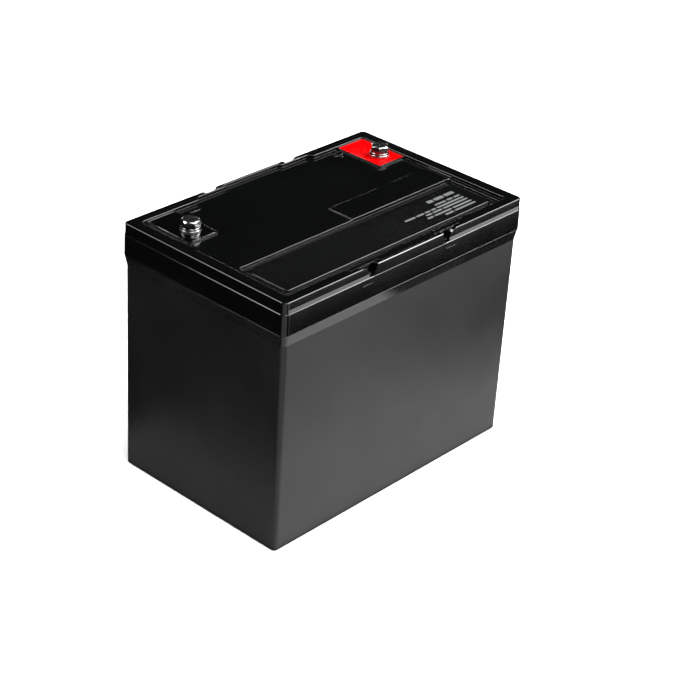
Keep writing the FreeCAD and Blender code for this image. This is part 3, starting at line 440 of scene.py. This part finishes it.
resin_finish = {
    "positive": cast_resin("red_resin", (0.30, 0.0002, 0.0005), (0.37, 0.0003, 0.0008), 0.30, 0.02),
    "negative": cast_resin("black_resin", (0.0003, 0.0003, 0.0003), (0.0005, 0.0005, 0.0005), 0.05, 0.5),
}
for sign, finish in resin_finish.items():
    low, high = (np.array(corner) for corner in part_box(f"{sign}_terminal_resin"))
    insert_low, insert_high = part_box(f"{sign}_terminal_insert")
    axis = np.array([(insert_low[0] + insert_high[0]) / 2, (insert_low[1] + insert_high[1]) / 2])
    resin = skin(f"{sign}_resin_casting",
                 resin_rings(low, high, axis, 8 * MM, 11 * MM, 3 * MM, 1.5 * MM, 0.25 * MM), wrap=True)
    resin.data.materials.append(finish)
    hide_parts(f"{sign}_terminal_resin")
    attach(resin, "root")


# ---- terminal inserts ----------------------------------------------------------------------------
# Turned brass bushes with a matt tin plate, tapped for the bolts. Fine rings from the lathe run
# round each one's own axis.
def turned_metal(name, axis, color, shine):
    """Plated metal turned on a lathe: rings by the distance from its axis, and dulled patches."""
    material, tree, shader, place = start_material(name, metallic=1.0)
    centred = add(tree, "Mapping", {"Vector": place, "Location": (-axis[0], -axis[1], 0)}).outputs["Vector"]
    rings = add(tree, "TexWave", {"Vector": centred, "Scale": 1 / (0.9 * MM), "Distortion": 0.4,
                                  "Detail": 2.0}, wave_type="RINGS", rings_direction="Z").outputs["Fac"]
    tarnish = noise(tree, place, 2.5 * MM, 0.0, 1.0, 6.0)
    duller = (*[0.72 * part for part in color], 1)
    tree.links.new(blend(tree, tarnish, (*color, 1), duller), shader.inputs["Base Color"])
    tree.links.new(noise(tree, place, 1.2 * MM, shine, shine + 0.14, 6.0), shader.inputs["Roughness"])
    lathe = add(tree, "Bump", {"Height": rings, "Distance": 0.004 * MM})
    tree.links.new(lathe.outputs["Normal"], shader.inputs["Normal"])
    return material


def axis_of(name):
    """Where a node's upright axis stands: the middle of its box."""
    low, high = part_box(name)
    return (low[0] + high[0]) / 2, (low[1] + high[1]) / 2


for sign in ("positive", "negative"):
    tin = turned_metal(f"{sign}_tin_plate", axis_of(f"{sign}_terminal_insert"), (0.62, 0.61, 0.58), 0.28)
    dress(f"{sign}_terminal_insert", tin)


# ---- washers -------------------------------------------------------------------------------------
# Each bolt has a stamped flat washer and a split spring washer in bright zinc-plated steel. The
# stamping rounds the flat washer's edges, and the spring washer's cut ends stand slightly apart.
def zinc_plate(name):
    """Bright zinc: a cool metal with drifting shine, fine blasted grain and small scuffs."""
    material, tree, shader, place = start_material(name, metallic=1.0)
    tone = noise(tree, place, 3 * MM, 0.0, 1.0, 6.0)
    cool = blend(tree, tone, (0.32, 0.33, 0.34, 1), (0.48, 0.48, 0.47, 1))
    tree.links.new(cool, shader.inputs["Base Color"])
    scuffs = noise(tree, scaled(tree, place, (1, 9, 3), (0.3, 0.2, 0.7)), 2 * MM, 0.0, 0.10, 8.0)
    sheen = noise(tree, place, 1.5 * MM, 0.10, 0.16, 4.0)
    tree.links.new(total(tree, sheen, scuffs), shader.inputs["Roughness"])
    blasted = noise(tree, place, 0.35 * MM, 0.0, 1.0)
    grain = add(tree, "Bump", {"Height": blasted, "Distance": 0.004 * MM})
    tree.links.new(grain.outputs["Normal"], shader.inputs["Normal"])
    return material


def washer_rings(low, high, hole, gap=0.0, rise=0.0):
    """Rings of a washer, each an outline across its section at one angle.

    The section is a rounded oblong, |r|^6 + |z|^6 = 1 stretched to its size. A split washer starts
    and ends half a gap from the +X side and climbs by a small rise over its turn.
    """
    middle = (low + high) / 2
    outer = (high[1] - low[1]) / 2
    half_gap = gap / 2 / outer
    turn = np.linspace(half_gap, 2 * np.pi - half_gap, 121)[:, None]
    if gap == 0:
        turn = turn[:-1]
    loop = -np.linspace(0, 2 * np.pi, 28, endpoint=False)[None, :]
    out = np.sign(np.cos(loop)) * np.abs(np.cos(loop)) ** (1 / 3)
    up = np.sign(np.sin(loop)) * np.abs(np.sin(loop)) ** (1 / 3)
    radius = (outer + hole) / 2 + out * (outer - hole) / 2
    height = middle[2] + up * (high[2] - low[2] - rise) / 2 + rise * (turn / (2 * np.pi) - 0.5)
    return np.stack([middle[0] + radius * np.cos(turn), middle[1] + radius * np.sin(turn),
                     height + 0 * radius * turn], axis=-1)


bolt_hole = 4.1 * MM
for sign in ("positive", "negative"):
    axis = axis_of(f"{sign}_flat_washer")
    zinc = zinc_plate(f"{sign}_washer_zinc")
    for kind, gap, rise in (("flat_washer", 0.0, 0.0), ("spring_washer", 1.0 * MM, 0.15 * MM)):
        low, high = (np.array(corner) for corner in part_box(f"{sign}_{kind}"))
        low[0], high[0] = (axis[0] + side * (high[1] - low[1]) / 2 for side in (-1, 1))
        washer = skin(f"{sign}_{kind}_plated", washer_rings(low, high, bolt_hole, gap, rise), wrap=gap == 0)
        washer.data.materials.append(zinc)
        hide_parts(f"{sign}_{kind}")
        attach(washer, f"{sign}_washers")


# ---- bolts ---------------------------------------------------------------------------------------
# M8 hexagon bolts, 16 mm long, cold formed with a chamfered head and rolled threads, then zinc
# plated. Each one screws into its terminal's insert through both washers.
def bolt_rings(axis, foot, top, corner, turn_of_corner):
    """Rings of a bolt from its tip up, each a closed outline at one height.

    A turned outline gives the radius at each height. On the head the radius is the lesser of that and
    the hexagon's, flat / cos(angle from the flat's middle). On the shank it drops by the thread's
    depth times a flattened triangle wave of (height / pitch - turn).
    """
    pitch, depth, shank, head = 1.25 * MM, 0.61 * MM, 4.0 * MM, 5.3 * MM
    seat_thickness, seat_radius, chamfer, crown = 0.3 * MM, 5.9 * MM, 0.8 * MM, 6.15 * MM
    underside = top - head
    turn = turn_of_corner + np.linspace(0, 2 * np.pi, 96, endpoint=False)
    thread_heights = np.arange(foot, underside - 0.02 * MM, pitch / 12)
    head_heights = np.concatenate([
        [underside, underside, underside + seat_thickness, underside + seat_thickness + 0.25 * MM],
        np.linspace(underside + 1.2 * MM, top - chamfer, 4), np.linspace(top - chamfer, top, 12)[1:]])
    turned_head = np.concatenate([
        [shank, seat_radius, seat_radius, corner], np.full(4, corner), np.linspace(corner, crown, 12)[1:]])
    turned_shank = np.minimum(shank, 3.1 * MM + (thread_heights - foot) * 1.2)
    heights = np.concatenate([thread_heights, head_heights])[:, None]
    turned = np.concatenate([turned_shank, turned_head])[:, None]
    from_flat = np.mod(turn - turn_of_corner, np.pi / 3) - np.pi / 6
    hexagon = corner * np.cos(np.pi / 6) / np.cos(from_flat)
    phase = np.mod(heights / pitch - turn / (2 * np.pi), 1.0)
    groove = np.clip(1.3 * np.abs(2 * phase - 1) - 0.15, 0, 1)
    run_out = np.clip((underside - heights) / (1.2 * MM), 0, 1)
    threaded = np.minimum(turned, shank - depth * groove * run_out)
    radius = np.where(heights < underside - 0.01 * MM, threaded, np.minimum(turned, hexagon))
    return np.stack([axis[0] + radius * np.cos(turn), axis[1] + radius * np.sin(turn),
                     heights + 0 * radius], axis=-1)


for sign in ("positive", "negative"):
    low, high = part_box(f"{sign}_bolt")
    axis = np.array(axis_of(f"{sign}_flat_washer"))
    mesh = nodes[f"{sign}_bolt"].data
    points = np.empty(3 * len(mesh.vertices))
    mesh.vertices.foreach_get("co", points)
    sideways = points.reshape(-1, 3)[:, :2] - axis
    distance = np.hypot(*sideways.T)
    farthest = sideways[distance.argmax()]
    rings = bolt_rings(axis, low[2], high[2], distance.max(), np.arctan2(farthest[1], farthest[0]))
    bolt = skin(f"{sign}_hex_bolt", rings, sharp=0.45)
    bolt.data.materials.append(zinc_plate(f"{sign}_bolt_zinc"))
    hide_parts(f"{sign}_bolt")
    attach(bolt, f"{sign}_bolt")


# ---- plates and separators -----------------------------------------------------------------------
# Inside each cell, brown positive and grey negative plates stand in folded white glass mat. The
# paste shows the cast grid under it as a faint square pattern.
def pasted_plate(name, dark, light):
    """Dried paste on a cast grid: mottled tones, a square grid of faint ribs, and a gritty bump."""
    material, tree, shader, place = start_material(name, specular=0.2)
    mottle = noise(tree, place, 4 * MM, 0.0, 1.0, 8.0)
    tree.links.new(blend(tree, mottle, (*dark, 1), (*light, 1)), shader.inputs["Base Color"])
    tree.links.new(noise(tree, place, 1 * MM, 0.75, 0.95), shader.inputs["Roughness"])
    wave = {"Vector": place, "Scale": 1 / (38 * MM)}
    ribs = [add(tree, "TexWave", wave, bands_direction=way).outputs["Fac"] for way in ("Y", "Z")]
    grid = add(tree, "Math", {0: ribs[0], 1: ribs[1]}, operation="MAXIMUM").outputs[0]
    frame_bump = add(tree, "Bump", {"Height": grid, "Distance": 0.05 * MM})
    grit = add(tree, "Bump", {"Height": noise(tree, place, 0.4 * MM, 0.0, 1.0), "Distance": 0.03 * MM,
                              "Normal": frame_bump.outputs["Normal"]})
    tree.links.new(grit.outputs["Normal"], shader.inputs["Normal"])
    return material


brown_paste = pasted_plate("brown_paste", (0.07, 0.035, 0.022), (0.16, 0.085, 0.055))
grey_paste = pasted_plate("grey_paste", (0.20, 0.21, 0.22), (0.34, 0.35, 0.36))

glass_mat, tree, shader, place = start_material("glass_mat", specular=0.25)
fibres = noise(tree, scaled(tree, place, (1, 1, 14), (0.5, 0, 0)), 1.2 * MM, 0.0, 1.0, 10.0)
mat_tone = blend(tree, fibres, (0.66, 0.66, 0.64, 1), (0.86, 0.86, 0.85, 1))
tree.links.new(mat_tone, shader.inputs["Base Color"])
tree.links.new(noise(tree, place, 0.6 * MM, 0.8, 1.0), shader.inputs["Roughness"])
fuzz = add(tree, "Bump", {"Height": fibres, "Distance": 0.08 * MM})
tree.links.new(fuzz.outputs["Normal"], shader.inputs["Normal"])
shader.inputs["Sheen Weight"].default_value = 0.3

for number in range(1, 7):
    dress(f"cell_{number}_positive_plates", brown_paste)
    dress(f"cell_{number}_negative_plates", grey_paste)
    dress(f"cell_{number}_separators", glass_mat)

# ---- lead straps ---------------------------------------------------------------------------------
# Cast lead straps join the plates' lugs and pass through the partitions, with dull oxide patches
# and the shallow dimples of the casting.
lead, tree, shader, place = start_material("cast_lead", metallic=0.85)
oxide = noise(tree, place, 3 * MM, 0.0, 1.0, 8.0)
lead_tone = blend(tree, oxide, (0.30, 0.31, 0.33, 1), (0.46, 0.46, 0.47, 1))
tree.links.new(lead_tone, shader.inputs["Base Color"])
tree.links.new(noise(tree, place, 1.6 * MM, 0.42, 0.62), shader.inputs["Roughness"])
dimples = add(tree, "Bump", {"Height": noise(tree, place, 1.1 * MM, 0.0, 1.0), "Distance": 0.06 * MM})
tree.links.new(dimples.outputs["Normal"], shader.inputs["Normal"])
for number in range(1, 6):
    dress(f"intercell_link_{number}", lead)
for sign in ("positive", "negative"):
    dress(f"{sign}_end_strap", lead)
